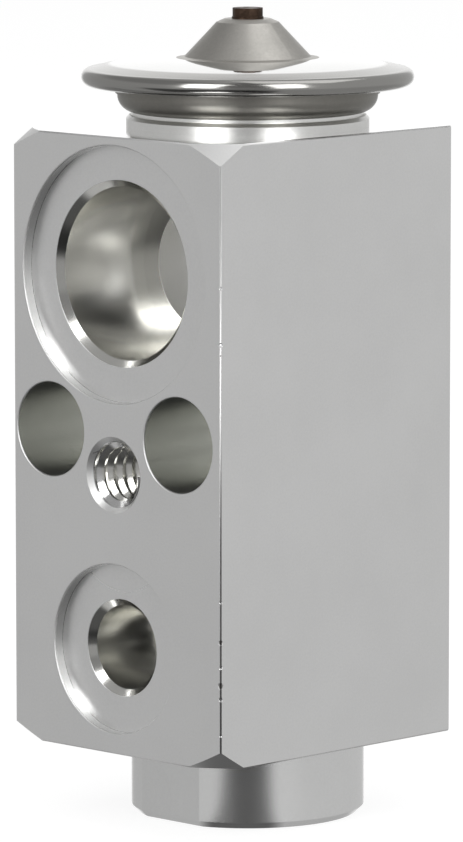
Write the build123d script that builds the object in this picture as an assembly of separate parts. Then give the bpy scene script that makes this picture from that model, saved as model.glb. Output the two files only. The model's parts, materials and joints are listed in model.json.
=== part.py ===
from build123d import *
import os
from math import cos, pi, radians, sin, sqrt, tan

# Block-type thermostatic expansion valve, millimetres, +Z up.
# While it is modelled the stem axis is the Z axis and the boss stands on Z = 0. The port face looks
# along -Y. Every piece is then moved by stem_y, which puts the origin under the middle of the
# valve's outline box, on the surface that the boss stands on.

# --- Block -----------------------------------------------------------------------------------
block_width = 28.4            # X
block_height = 60.0           # Z, between the two machined end faces
port_face_to_stem = 18.5      # from the stem axis to the port face, towards -Y
back_face_to_stem = 13.7      # from the stem axis to the back face, towards +Y
block_shift = 0.35              # X of the block's middle; the ports and the stem stand at 0
edge_break = 0.15             # deburred outer edges
corner_turn_radius = 21.0     # where the turned corner cone meets an end face
corner_turn_angle = 38.0      # of that cone, from the end face, degrees
boss_radius = 11.5
boss_height = 7.8
boss_flat_distance = 10.8     # from the stem axis to the flat, towards the port face
boss_chamfer = 0.65

# --- Gas passage ------------------------------------------------------------------------------
gas_drop = 13.3               # from the top face down to the passage axis
gas_bore_radius = 8.43
gas_bore_depth = 12.5         # from the port face
gas_back_bore_depth = 8.0     # from the back face
gas_core_radius = 6.3
gas_recess_radius = 12.45
gas_recess_depth = 1.1
port_chamfer = 0.66

# --- Liquid passages ----------------------------------------------------------------------------
inlet_rise = 10.3             # from the block's lower end face up to the inlet axis
inlet_bore_radius = 4.13
inlet_bore_depth = 10.5       # from the port face
inlet_core_radius = 3.0
inlet_recess_radius = 8.26
inlet_recess_depth = 1.1
outlet_drop = 8.2             # from the bolt row down to the outlet axis
outlet_bore_radius = 5.25
outlet_bore_depth = 9.6       # from the back face
outlet_core_radius = 4.2
outlet_core_reach = 3.0       # past the stem axis
outlet_recess_radius = 7.0
outlet_recess_depth = 1.1

# --- Fixing holes -------------------------------------------------------------------------------
bolt_row_rise = 31.0          # from the block's lower end face up to the bolt holes
bolt_spacing = 17.5
bolt_hole_radius = 4.6
clamp_drop = 3.7              # from the bolt row down to the tapped hole
clamp_thread_radius = 3.175
clamp_thread_depth = 11.5
clamp_mouth_radius = 3.72
clamp_drill_radius = 2.6
clamp_drill_depth = 13.0
drill_point_angle = 31.0      # slope of a drill's point, degrees

# --- Valve seat, rod guide and gland ----------------------------------------------------------
orifice_radius = 1.8
orifice_length = 1.4
chamber_radius = 5.3
seat_cone_rise = 1.5          # from the chamber wall up to the seat edge
rod_radius = 1.2
rod_clearance = 0.05
gland_radius = 3.0
gland_depth = 6.25            # below the floor of the gas passage

# --- Adjuster in the boss ---------------------------------------------------------------------
adjuster_thread_radius = 6.0
adjuster_thread_depth = 7.2
adjuster_pitch = 1.0
adjuster_mouth_chamfer = 0.4
adjuster_recess = 2.0         # from the foot up to the screw
adjuster_thread_length = 4.0
adjuster_neck_length = 1.6
adjuster_groove_radius = 3.9
adjuster_groove_width = 1.8
adjuster_flange_length = 0.8
adjuster_nose_radius = 2.9
adjuster_nose_length = 1.5
hex_across_flats = 6.0
hex_depth = 3.4
running_clearance = 0.06      # radial, between a moving turned piece and its bore
seat_washer_thickness = 0.7
seat_washer_margin = 0.3      # radial, inside the chamber wall

# --- Ball, carrier, spring and damper clip ------------------------------------------------------
ball_radius = 2.38
contact_gap = 0.03            # between the ball, its seat, its carrier and the rod
carrier_cup_radius = 3.2
carrier_cup_height = 2.1
carrier_flange_radius = 4.85
carrier_flange_thickness = 0.9
carrier_floor = 0.5           # from the flange's upper face up to the bottom of the ball
carrier_spigot_radius = 3.3
carrier_spigot_length = 1.2
spring_wire_radius = 0.65
spring_outer_radius = 4.75
spring_turns = 4.5
clip_thickness = 0.25
clip_leg_count = 3
clip_leg_width = 1.8
clip_leg_height = 2.3

# --- Stem ---------------------------------------------------------------------------------------
shaft_radius = 2.75
shaft_entry = 1.25            # how far the shaft reaches below the floor of the gas passage
rod_socket_depth = 3.0
press_clearance = 0.02        # radial, where one stem piece is pushed into the next
seal_section = 1.7
seal_clearance = 0.05
backing_thickness = 0.6
backing_margin = 0.1
retainer_thickness = 0.4
retainer_lobes = 8
retainer_lobe_notch = 0.45

# --- Power head ---------------------------------------------------------------------------------
socket_radius = 10.0
socket_depth = 3.5
socket_mouth_chamfer = 0.3
gas_vent_radius = 5.0
gasket_thickness = 0.6
gasket_width = 2.35            # radial
thread_clearance = 0.05
collar_radius = 11.9
collar_lip_radius = 11.6      # where the collar's upper edge is bevelled
collar_height = 1.1
collar_bevel = 0.35
collar_bore_radius = 7.0
head_groove_radius = 11.3
head_groove_height = 0.3
cup_wall_radius = 12.95
cup_band_height = 1.15        # straight wall under the rim
cup_step = 0.2                # from the straight wall in to the bowl
cup_sheet = 0.5
rim_radius = 16.26
rim_thickness = 1.7
rim_lip_sheet = 0.45
rim_lip_inner_radius = 13.4
diaphragm_thickness = 0.15
diaphragm_ripple = 0.25
diaphragm_ripples = 3
diaphragm_slot_radius = 15.5  # outer edge of the stack that the rim is rolled over
cover_sheet = 0.6
cover_rise = 1.0              # from the top of the rim up to the flat middle
cover_flat_radius = 7.2
cover_port_radius = 1.2
head_rise = 5.65              # from the block's top face up to the top of the rim
cone_foot_radius = 7.0
cone_foot_thickness = 0.12
cone_base_radius = 6.2
cone_top_radius = 2.75
cone_height = 3.8
cone_shoulder = 0.45
cone_wall = 0.7
charge_hole_radius = 0.8
plug_radius = 1.48
plug_foot = 0.08
plug_height = 1.05
plug_pin_length = 0.6
pad_radius = 9.6
pad_thickness = 1.8
pad_hub_radius = 4.0
pad_hub_length = 0.9
pad_gap = 0.1                 # between the pad and the diaphragm's ripples
shaft_socket_depth = 1.5

# --- Derived levels (Z) ---------------------------------------------------------------------------
block_bottom = boss_height
block_top = block_bottom + block_height
gas_z = block_top - gas_drop
inlet_z = block_bottom + inlet_rise
bolt_z = block_bottom + bolt_row_rise
clamp_z = bolt_z - clamp_drop
outlet_z = bolt_z - outlet_drop
orifice_top = outlet_z - outlet_core_radius
seat_z = orifice_top - orifice_length
chamber_top = seat_z - seat_cone_rise
gas_floor = gas_z - gas_core_radius
gland_floor = gas_floor - gland_depth
socket_floor = block_top - socket_depth
ball_z = seat_z - sqrt(ball_radius**2 - orifice_radius**2) - contact_gap
carrier_flange_top = ball_z - ball_radius - contact_gap - carrier_floor
carrier_flange_bottom = carrier_flange_top - carrier_flange_thickness
neck_bottom = adjuster_recess + adjuster_thread_length
groove_bottom = neck_bottom + adjuster_neck_length
groove_top = groove_bottom + adjuster_groove_width
adjuster_shoulder = groove_top + adjuster_flange_length
spring_bottom = adjuster_shoulder + seat_washer_thickness
spring_top = carrier_flange_bottom
collar_top = block_top + collar_height
cup_bottom = collar_top + head_groove_height
rim_top = block_top + head_rise
rim_bottom = rim_top - rim_thickness
rim_middle = rim_top - rim_thickness / 2
cup_flange_bottom = rim_bottom + rim_lip_sheet
diaphragm_z = cup_flange_bottom + cup_sheet
cover_bottom = diaphragm_z + diaphragm_thickness
cover_top = rim_top + cover_rise
cone_z = cover_top
plug_z = cone_z + cone_height
pad_top = diaphragm_z - diaphragm_ripple - pad_gap
pad_bottom = pad_top - pad_thickness
shaft_bottom = gas_floor - shaft_entry
shaft_top = pad_bottom - pad_hub_length + shaft_socket_depth
rod_top = shaft_bottom + rod_socket_depth
rod_bottom = ball_z + ball_radius + contact_gap
stem_y = (port_face_to_stem - max(rim_radius, back_face_to_stem)) / 2


def turned(*edges):
    """A solid turned about the stem axis from the closed outline that the edges form in (r, z)."""
    return revolve(Plane.XZ * make_face(edges), Axis.Z)


def turned_points(*points):
    """A solid turned from a closed outline of straight runs through (r, z) points."""
    return turned(Polyline(*points, close=True))


def bore(y_mouth, y_end, x, z, radius, mouth_chamfer=0.0):
    """A cutting tool along Y from its mouth to its end, with a chamfered mouth."""
    depth = abs(y_end - y_mouth)
    inward = 1 if y_end > y_mouth else -1
    mouth = Plane(origin=(x, y_mouth, z), z_dir=(0, inward, 0))
    tool = extrude(mouth * Circle(radius), depth)
    if mouth_chamfer > 0:
        tool += loft([mouth * Circle(radius + mouth_chamfer),
                      mouth.offset(mouth_chamfer) * Circle(radius)])
    return tool


def block_blank():
    """The sawn and milled block with its port-face corners turned off at both ends."""
    depth = port_face_to_stem + back_face_to_stem
    middle_y = (back_face_to_stem - port_face_to_stem) / 2
    blank = Pos(block_shift, middle_y, (block_bottom + block_top) / 2) * Box(block_width, depth, block_height)
    blank = chamfer(blank.edges(), edge_break)
    reach = block_width + depth
    drop = (reach - corner_turn_radius) * tan(radians(corner_turn_angle))
    envelope = turned_points((0, block_bottom), (corner_turn_radius, block_bottom),
                             (reach, block_bottom + drop), (reach, block_top - drop),
                             (corner_turn_radius, block_top), (0, block_top))
    return blank & envelope


def boss_blank():
    """The turned boss with its wrench flat and chamfered foot."""
    boss = Pos(0, 0, boss_height / 2) * Cylinder(boss_radius, boss_height)
    cut = Pos(0, -boss_flat_distance - boss_radius, boss_height / 2)
    boss -= cut * Box(3 * boss_radius, 2 * boss_radius, boss_height)
    foot = boss.faces().sort_by(Axis.Z)[0]
    return chamfer(foot.edges(), boss_chamfer)


def gas_passage():
    """Tools for the gas passage: recess and bore on both faces, joined by a narrower core."""
    front, back = -port_face_to_stem, back_face_to_stem
    front_floor, back_floor = front + gas_recess_depth, back - gas_recess_depth
    tools = bore(front, front_floor, 0, gas_z, gas_recess_radius, edge_break)
    tools += bore(back, back_floor, 0, gas_z, gas_recess_radius, edge_break)
    tools += bore(front_floor, front + gas_bore_depth, 0, gas_z, gas_bore_radius, port_chamfer)
    tools += bore(back_floor, back - gas_back_bore_depth, 0, gas_z, gas_bore_radius, port_chamfer)
    return tools + bore(front_floor, back_floor, 0, gas_z, gas_core_radius)


def liquid_passages():
    """Tools for the liquid inlet in the port face and the liquid outlet in the back face."""
    front, back = -port_face_to_stem, back_face_to_stem
    inlet_floor, outlet_floor = front + inlet_recess_depth, back - outlet_recess_depth
    tools = bore(front, inlet_floor, 0, inlet_z, inlet_recess_radius, edge_break)
    tools += bore(inlet_floor, front + inlet_bore_depth, 0, inlet_z, inlet_bore_radius, port_chamfer)
    tools += bore(inlet_floor, 0, 0, inlet_z, inlet_core_radius)
    tools += bore(back, outlet_floor, 0, outlet_z, outlet_recess_radius, edge_break)
    tools += bore(outlet_floor, back - outlet_bore_depth, 0, outlet_z, outlet_bore_radius,
                  port_chamfer)
    return tools + bore(outlet_floor, -outlet_core_reach, 0, outlet_z, outlet_core_radius)


def fixing_holes():
    """Tools for the two through bolt holes and the tapped hole between them."""
    front, back = -port_face_to_stem, back_face_to_stem
    tools = bore(front, back, bolt_spacing / 2, bolt_z, bolt_hole_radius, edge_break)
    tools += bore(front, back, -bolt_spacing / 2, bolt_z, bolt_hole_radius, edge_break)
    for side in (-1, 1):
        tools += bore(back, front, side * bolt_spacing / 2, bolt_z, bolt_hole_radius, edge_break)
    mouth_chamfer = clamp_mouth_radius - clamp_thread_radius
    tools += bore(front, front + clamp_thread_depth, 0, clamp_z, clamp_thread_radius, mouth_chamfer)
    tools += bore(front, front + clamp_drill_depth, 0, clamp_z, clamp_drill_radius)
    point = Plane(origin=(0, front + clamp_drill_depth, clamp_z), z_dir=(0, 1, 0))
    point_length = clamp_drill_radius * tan(radians(drill_point_angle))
    cone = Cone(clamp_drill_radius, 0, point_length, align=(Align.CENTER, Align.CENTER, Align.MIN))
    return tools + point * cone


def stem_bore():
    """The stepped tool along the stem axis, from the foot of the boss to the head's socket."""
    mouth = adjuster_thread_radius + adjuster_mouth_chamfer
    guide = rod_radius + rod_clearance
    socket_mouth = socket_radius + socket_mouth_chamfer
    return turned_points(
        (0, 0), (mouth, 0), (adjuster_thread_radius, adjuster_mouth_chamfer),
        (adjuster_thread_radius, adjuster_thread_depth), (chamber_radius, adjuster_thread_depth),
        (chamber_radius, chamber_top), (orifice_radius, seat_z), (orifice_radius, outlet_z),
        (guide, outlet_z), (guide, gland_floor), (gland_radius, gland_floor),
        (gland_radius, gas_z), (gas_vent_radius, gas_z), (gas_vent_radius, socket_floor),
        (socket_radius, socket_floor), (socket_radius, block_top - socket_mouth_chamfer),
        (socket_mouth, block_top), (0, block_top))


def valve_body():
    """The machined aluminium block: one piece with its boss, passages and holes."""
    blank = block_blank() + boss_blank()
    return blank - gas_passage() - liquid_passages() - fixing_holes() - stem_bore()


def adjusting_screw():
    """The hollow-hex screw in the boss that sets the spring's preload."""
    thread = adjuster_thread_radius - running_clearance
    land = chamber_radius - running_clearance
    nose_top = adjuster_shoulder + adjuster_nose_length
    screw = turned_points(
        (0, adjuster_recess), (thread, adjuster_recess), (thread, neck_bottom), (land, neck_bottom),
        (land, groove_bottom), (adjuster_groove_radius, groove_bottom),
        (adjuster_groove_radius, groove_top), (land, groove_top), (land, adjuster_shoulder),
        (adjuster_nose_radius, adjuster_shoulder), (adjuster_nose_radius, nose_top), (0, nose_top))
    key = RegularPolygon(hex_across_flats / 2, 6, major_radius=False)
    return screw - extrude(Pos(0, 0, adjuster_recess) * key, hex_depth)


def o_ring(inner_radius, outer_radius, z_bottom, section):
    """An O-ring that sits on z_bottom between two radii."""
    middle = (inner_radius + outer_radius) / 2
    return Pos(0, 0, z_bottom + section / 2) * Torus(middle, section / 2)


def adjuster_o_ring():
    """The O-ring in the adjusting screw's groove."""
    inner = adjuster_groove_radius + seal_clearance
    outer = chamber_radius - seal_clearance
    section = outer - inner
    slack = (adjuster_groove_width - section) / 2
    return o_ring(inner, outer, groove_bottom + slack, section)


def spring_seat():
    """The flat washer that keeps the turning screw from twisting the spring."""
    inner = adjuster_nose_radius + running_clearance
    outer = chamber_radius - seat_washer_margin
    return turned_points((inner, adjuster_shoulder), (outer, adjuster_shoulder),
                         (outer, spring_bottom), (inner, spring_bottom))


def valve_spring():
    """The compression spring, its end turns ground flat on the washer and the ball carrier."""
    length = spring_top - spring_bottom
    middle_radius = spring_outer_radius - spring_wire_radius
    path = Pos(0, 0, spring_bottom) * Helix(length / spring_turns, length, middle_radius)
    section = Plane(origin=path @ 0, z_dir=path % 0) * Circle(spring_wire_radius)
    wire = sweep(section, path=path, is_frenet=True)
    between = Pos(0, 0, (spring_top + spring_bottom) / 2) * Cylinder(2 * spring_outer_radius, length)
    return wire & between


def ball_carrier():
    """The turned cup that holds the ball on the end of the spring."""
    cup_top = carrier_flange_top + carrier_cup_height
    touch = ball_radius * sin(radians(45)) + contact_gap
    touch_z = ball_z - ball_radius * cos(radians(45)) - contact_gap
    cone_low = touch_z - touch
    floor_z = ball_z - ball_radius - contact_gap
    floor_radius = floor_z - cone_low
    rim = cup_top - cone_low
    spigot_bottom = carrier_flange_bottom - carrier_spigot_length
    return turned_points(
        (0, floor_z), (floor_radius, floor_z), (min(rim, carrier_cup_radius - 0.2), cup_top),
        (carrier_cup_radius, cup_top), (carrier_cup_radius, carrier_flange_top),
        (carrier_flange_radius, carrier_flange_top), (carrier_flange_radius, carrier_flange_bottom),
        (carrier_spigot_radius, carrier_flange_bottom), (carrier_spigot_radius, spigot_bottom),
        (0, spigot_bottom))


def valve_ball():
    """The ball that closes the seat."""
    return Pos(0, 0, ball_z) * Sphere(ball_radius)


def damper_clip():
    """The sprung clip on the ball carrier, whose legs rub on the chamber wall and stop it humming."""
    inner = carrier_cup_radius + running_clearance
    outer = chamber_radius - running_clearance
    leg_inner = outer - clip_thickness
    base = carrier_flange_top
    ring = turned_points((inner, base), (carrier_flange_radius, base),
                         (carrier_flange_radius, base + clip_thickness), (inner, base + clip_thickness))
    wall = turned_points((leg_inner, base), (outer, base), (outer, base + clip_leg_height),
                         (leg_inner, base + clip_leg_height))
    tab = turned_points((inner, base), (outer, base), (outer, base + clip_thickness),
                        (inner, base + clip_thickness))
    slice_box = Pos(outer / 2, 0, base + clip_leg_height / 2) * Box(outer + 1, clip_leg_width,
                                                                    clip_leg_height + 1)
    clip = ring
    for index in range(clip_leg_count):
        cutter = Rot(0, 0, index * 360 / clip_leg_count) * slice_box
        clip += (wall + tab) & cutter
    return clip


def operating_rod():
    """The rod through the gland that pushes the ball off its seat."""
    return turned_points((0, rod_bottom), (rod_radius, rod_bottom), (rod_radius, rod_top), (0, rod_top))


def sensing_shaft():
    """The shaft that crosses the gas passage and carries its heat up to the diaphragm."""
    socket = rod_radius + press_clearance
    return turned_points((socket, shaft_bottom), (shaft_radius, shaft_bottom), (shaft_radius, shaft_top),
                         (0, shaft_top), (0, rod_top), (socket, rod_top))


def thrust_pad():
    """The pad that spreads the shaft's load over the diaphragm."""
    hub_bottom = pad_bottom - pad_hub_length
    socket = shaft_radius + press_clearance
    return turned_points(
        (socket, hub_bottom), (pad_hub_radius, hub_bottom), (pad_hub_radius, pad_bottom),
        (pad_radius, pad_bottom), (pad_radius, pad_top), (0, pad_top), (0, shaft_top),
        (socket, shaft_top))


def rod_seal():
    """The O-ring round the rod in its gland."""
    inner = rod_radius + seal_clearance
    outer = gland_radius - seal_clearance
    return o_ring(inner, outer, gland_floor, outer - inner)


def seal_backing():
    """The flat washer over the rod seal."""
    bottom = gland_floor + (gland_radius - rod_radius - 2 * seal_clearance)
    inner = rod_radius + backing_margin
    outer = gland_radius - seal_clearance
    top = bottom + backing_thickness
    return turned_points((inner, bottom), (outer, bottom), (outer, top), (inner, top))


def seal_retainer():
    """The toothed push-in ring that holds the washer and seal down in the gland."""
    bottom = gland_floor + (gland_radius - rod_radius - 2 * seal_clearance) + backing_thickness
    inner = rod_radius + 2 * backing_margin
    top = bottom + retainer_thickness
    ring = turned_points((inner, bottom), (gland_radius, bottom), (gland_radius, top), (inner, top))
    for index in range(retainer_lobes):
        notch = Rot(0, 0, index * 360 / retainer_lobes) * Pos(gland_radius, 0, (bottom + top) / 2)
        ring -= notch * Box(2 * retainer_lobe_notch, 2 * retainer_lobe_notch, 2 * retainer_thickness)
    return ring


def head_gasket():
    """The flat ring that seals the head's neck on the floor of its socket."""
    outer = socket_radius - thread_clearance
    inner = outer - gasket_width
    top = socket_floor + gasket_thickness
    return turned_points((inner, socket_floor), (outer, socket_floor), (outer, top), (inner, top))


def head_collar():
    """The threaded neck of the power head, with the bright collar that seats on the block."""
    neck = socket_radius - thread_clearance
    neck_end = socket_floor + gasket_thickness
    return turned_points(
        (collar_bore_radius, neck_end), (neck, neck_end), (neck, block_top),
        (collar_radius, block_top), (collar_radius, collar_top - collar_bevel),
        (collar_lip_radius, collar_top), (head_groove_radius, collar_top),
        (head_groove_radius, cup_bottom), (collar_bore_radius, cup_bottom))


def bowl_arc(outer_radius, foot_radius, z_low, z_high):
    """The curved part of the cup's section, from its flat floor up to its wall."""
    bulge_r = foot_radius + (outer_radius - foot_radius) * sin(radians(50))
    bulge_z = z_low + (z_high - z_low) * (1 - cos(radians(50)))
    return ThreePointArc((foot_radius, z_low), (bulge_r, bulge_z), (outer_radius, z_high))


def head_cup():
    """The pressed lower housing: flat floor, bowl, straight band and the flange under the rim."""
    bowl_top = rim_bottom + rim_lip_sheet - cup_band_height
    bowl_radius = cup_wall_radius - cup_step
    outer_foot = head_groove_radius
    inner_wall = bowl_radius - cup_sheet
    inner_foot = outer_foot - cup_sheet
    flange_top = cup_flange_bottom + cup_sheet
    slot = diaphragm_slot_radius
    outer_arc = bowl_arc(bowl_radius, outer_foot, cup_bottom, bowl_top)
    inner_arc = bowl_arc(inner_wall, inner_foot, cup_bottom + cup_sheet, bowl_top)
    return turned(
        Line((collar_bore_radius, cup_bottom), (outer_foot, cup_bottom)), outer_arc,
        Polyline((bowl_radius, bowl_top), (cup_wall_radius, bowl_top),
                 (cup_wall_radius, cup_flange_bottom), (slot, cup_flange_bottom), (slot, flange_top),
                 (inner_wall, flange_top), (inner_wall, bowl_top)),
        inner_arc,
        Polyline((inner_foot, cup_bottom + cup_sheet), (collar_bore_radius, cup_bottom + cup_sheet),
                 (collar_bore_radius, cup_bottom)))


def diaphragm():
    """The thin rippled disc that the charge bends, clamped all round in the rim."""
    flat_from = cup_wall_radius - cup_step - 2 * cup_sheet
    flat_to = flat_from / 3
    step = (flat_from - flat_to) / (2 * diaphragm_ripples)
    lower = [(0, diaphragm_z), (flat_to, diaphragm_z)]
    for index in range(diaphragm_ripples):
        low_r = flat_to + (2 * index + 1) * step
        lower.append((low_r, diaphragm_z - diaphragm_ripple))
        lower.append((low_r + step, diaphragm_z))
    lower.append((diaphragm_slot_radius, diaphragm_z))
    upper = [(r, z + diaphragm_thickness) for r, z in reversed(lower)]
    return turned_points(*lower, *upper)


def head_cover():
    """The pressed upper housing: a shallow dome whose rim is rolled round the cup's flange."""
    nose = rim_thickness / 2
    nose_r = rim_radius - nose
    dome = TangentArc((cover_flat_radius, cover_top), (nose_r, rim_top), tangent=(1, 0))
    nose_arc = ThreePointArc((nose_r, rim_top), (rim_radius, rim_middle), (nose_r, rim_bottom))
    lip_top = cup_flange_bottom
    slot = diaphragm_slot_radius
    inner_start = cup_wall_radius - cup_sheet
    return turned(
        Line((cover_port_radius, cover_top), (cover_flat_radius, cover_top)), dome, nose_arc,
        Polyline((nose_r, rim_bottom), (rim_lip_inner_radius, rim_bottom),
                 (rim_lip_inner_radius, lip_top), (slot, lip_top), (slot, cover_bottom),
                 (inner_start, cover_bottom), (cover_flat_radius, cover_top - cover_sheet),
                 (cover_port_radius, cover_top - cover_sheet), (cover_port_radius, cover_top)))


def charge_cone():
    """The hollow cone on the cover that holds the charge, on a thin foot."""
    foot_top = cone_z + cone_foot_thickness
    top = cone_z + cone_height
    run = cone_base_radius - cone_top_radius
    rise = top - foot_top
    tilt = sqrt(run**2 + rise**2)
    shoulder_r = cone_top_radius + cone_shoulder * run / tilt
    shoulder_z = top - cone_shoulder * rise / tilt
    inner_top = top - 2 * cone_wall
    inner_base = cone_base_radius - 2 * cone_wall
    inner_tip = inner_base - (inner_top - cone_z) * run / rise
    return turned_points(
        (inner_base, cone_z), (cone_foot_radius, cone_z), (cone_base_radius, foot_top),
        (shoulder_r, shoulder_z), (cone_top_radius - cone_shoulder, top), (charge_hole_radius, top),
        (charge_hole_radius, inner_top), (inner_tip, inner_top))


def charge_plug():
    """The plug welded over the charging hole."""
    foot_radius = plug_radius + plug_foot
    pin = charge_hole_radius - press_clearance
    foot_top = plug_z + 2 * plug_foot
    return turned_points(
        (0, plug_z - plug_pin_length), (pin, plug_z - plug_pin_length), (pin, plug_z),
        (foot_radius, plug_z), (foot_radius, foot_top), (plug_radius, foot_top + plug_foot),
        (plug_radius, plug_z + plug_height), (0, plug_z + plug_height))


PIECES = (
    valve_body, adjusting_screw, adjuster_o_ring, spring_seat, valve_spring, ball_carrier, valve_ball,
    damper_clip, operating_rod, sensing_shaft, thrust_pad, rod_seal, seal_backing, seal_retainer,
    head_gasket, head_collar, head_cup, diaphragm, head_cover, charge_cone, charge_plug)

os.makedirs("parts", exist_ok=True)
for piece in PIECES:
    export_step(Pos(0, stem_y, 0) * piece(), "parts/" + piece.__name__ + ".step")
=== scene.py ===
"""Looks of a thermostatic expansion valve: finishes, cut threads, floor, lights and camera.

Sizes in the dataclasses are in millimetres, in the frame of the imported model: X runs along the
width of the port face, the port face looks along -Y, and Z is up. They become metres where a
mesh or a material is made.
"""

import json
import logging
import math
from dataclasses import dataclass, field
from enum import Enum

import bpy
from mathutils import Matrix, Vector


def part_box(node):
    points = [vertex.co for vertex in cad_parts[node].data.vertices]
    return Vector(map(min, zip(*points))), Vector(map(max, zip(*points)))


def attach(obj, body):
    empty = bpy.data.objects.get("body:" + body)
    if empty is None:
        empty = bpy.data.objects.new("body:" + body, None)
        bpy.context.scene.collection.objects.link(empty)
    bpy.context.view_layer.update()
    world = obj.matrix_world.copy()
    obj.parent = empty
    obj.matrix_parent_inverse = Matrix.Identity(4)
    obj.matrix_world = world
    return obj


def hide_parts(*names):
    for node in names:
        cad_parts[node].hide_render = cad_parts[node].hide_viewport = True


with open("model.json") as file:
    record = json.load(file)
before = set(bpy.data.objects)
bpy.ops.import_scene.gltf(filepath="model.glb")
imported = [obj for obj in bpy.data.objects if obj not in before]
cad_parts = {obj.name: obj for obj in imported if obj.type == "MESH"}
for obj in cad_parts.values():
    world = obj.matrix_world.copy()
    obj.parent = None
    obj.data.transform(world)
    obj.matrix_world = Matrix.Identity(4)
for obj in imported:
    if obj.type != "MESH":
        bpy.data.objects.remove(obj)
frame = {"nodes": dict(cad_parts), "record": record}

LOG = logging.getLogger("expansion_valve")
MM = 0.001
Colour = tuple[float, float, float]
Socket = bpy.types.NodeSocket

# Sizes of the block's holes, in millimetres.
GAS_RECESS_RADIUS = 12.45
INLET_RECESS_RADIUS = 8.26
OUTLET_RECESS_RADIUS = 7.0
BOLT_RADIUS = 4.6
BOLT_SPACING = 17.5
CLAMP_RADIUS = 3.2
GAS_CORE_RADIUS = 6.3
GAS_BORE_DEPTH = 12.45
RECESS_DEPTH = 1.12
CHAMFER_DEPTH = 1.72
EDGE_BREAK = 0.13
LIP_DEPTH = 0.16

# How far a mask on the block reaches past a surface, and how wide its soft border is.
REACH = 0.05
WALL_REACH = 0.04
SOFT = 0.04



class Axis(Enum):
    """The axes that a cut thread can have, with the screw modifier's names."""

    Y = "Y"
    Z = "Z"


class Graph:
    """Adds and links the nodes of one material, world or node group."""

    def __init__(self, tree: bpy.types.NodeTree) -> None:
        """Empties the tree and keeps it.

        Args:
            tree: The node tree to fill.
        """
        self.tree = tree
        tree.nodes.clear()

    def add(self, kind: str, inputs: dict | None = None, **settings) -> bpy.types.Node:
        """Adds one node.

        Args:
            kind: The node's type name, without the ShaderNode in front.
            inputs: What each input takes, by name or number: a socket is linked, a value is set.
            settings: Properties of the node.

        Returns:
            The new node.
        """
        name = kind if kind.startswith("Node") else "ShaderNode" + kind
        node = self.tree.nodes.new(name)
        for key, value in settings.items():
            setattr(node, key, value)
        for key, value in (inputs or {}).items():
            self.feed(node.inputs[key], value)
        return node

    def feed(self, socket: Socket, value) -> None:
        """Links a socket to another one, or sets its value."""
        if isinstance(value, Socket):
            self.tree.links.new(value, socket)
        elif isinstance(value, tuple) and len(value) == 3 and socket.type == "RGBA":
            socket.default_value = (*value, 1.0)
        else:
            socket.default_value = value

    def math(self, operation: str, *values, clamp: bool = False) -> Socket:
        """Returns the result of a Math node on the given values or sockets."""
        node = self.add("Math", dict(enumerate(values)), operation=operation, use_clamp=clamp)
        return node.outputs[0]

    def ramp(self, value, start: float, end: float, low: float = 0.0, high: float = 1.0) -> Socket:
        """Returns the value mapped smoothly from start...end to low...high.

        Args:
            value: The socket to map.
            start: The value that gives low.
            end: The value that gives high.
            low: The result at and before start.
            high: The result at and after end.

        Returns:
            The mapped socket.
        """
        sign = 1.0 if end > start else -1.0
        inputs = {"Value": self.math("MULTIPLY", value, sign), "From Min": sign * start,
                  "From Max": sign * end, "To Min": low, "To Max": high}
        return self.add("MapRange", inputs, interpolation_type="SMOOTHSTEP").outputs["Result"]

    def mix(self, factor, first, second) -> Socket:
        """Returns a mix of two numbers."""
        node = self.add("Mix", {"Factor": factor, 2: first, 3: second}, data_type="FLOAT")
        return node.outputs[0]

    def blend(self, factor, first, second, mode: str = "MIX") -> Socket:
        """Returns a mix of two colours."""
        node = self.add("Mix", {"Factor": factor, 6: first, 7: second}, data_type="RGBA",
                        blend_type=mode)
        return node.outputs[2]

    def noise(self, vector, scale: float, detail: float = 2.0, roughness: float = 0.5) -> Socket:
        """Returns the value of a noise texture, 0 to 1 about a half."""
        inputs = {"Vector": vector, "Scale": scale, "Detail": detail, "Roughness": roughness}
        return self.add("TexNoise", inputs).outputs[0]

    def grey(self, value: Socket) -> Socket:
        """Returns a number as a grey colour."""
        return self.add("CombineColor", {0: value, 1: value, 2: value}).outputs[0]

    def distance(self, first: Socket, second: Socket) -> Socket:
        """Returns the length of the vector with these two parts."""
        return self.math("SQRT", self.math("ADD", self.math("MULTIPLY", first, first),
                                           self.math("MULTIPLY", second, second)))

    def surface(self, colour: Socket, metallic: float, rough: Socket, height: Socket) -> None:
        """Ends a material with a Principled shader that has this bump."""
        bump = self.add("Bump", {"Height": height, "Strength": 1.0, "Distance": 1.0})
        shader = self.add("BsdfPrincipled", {"Base Color": colour, "Metallic": metallic,
                                             "Roughness": rough, "Normal": bump.outputs[0]})
        self.add("OutputMaterial", {"Surface": shader.outputs[0]})

    def group(self, group: bpy.types.NodeTree, **inputs) -> bpy.types.Node:
        """Places a node group, with its inputs given by name."""
        node = self.add("Group")
        node.node_tree = group
        for key, value in inputs.items():
            self.feed(node.inputs[key.replace("_", " ")], value)
        return node


def new_material(name: str) -> tuple[bpy.types.Material, Graph]:
    """Returns a new material and the graph of its nodes."""
    material = bpy.data.materials.new(name)
    material.use_nodes = True
    return material, Graph(material.node_tree)


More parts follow.
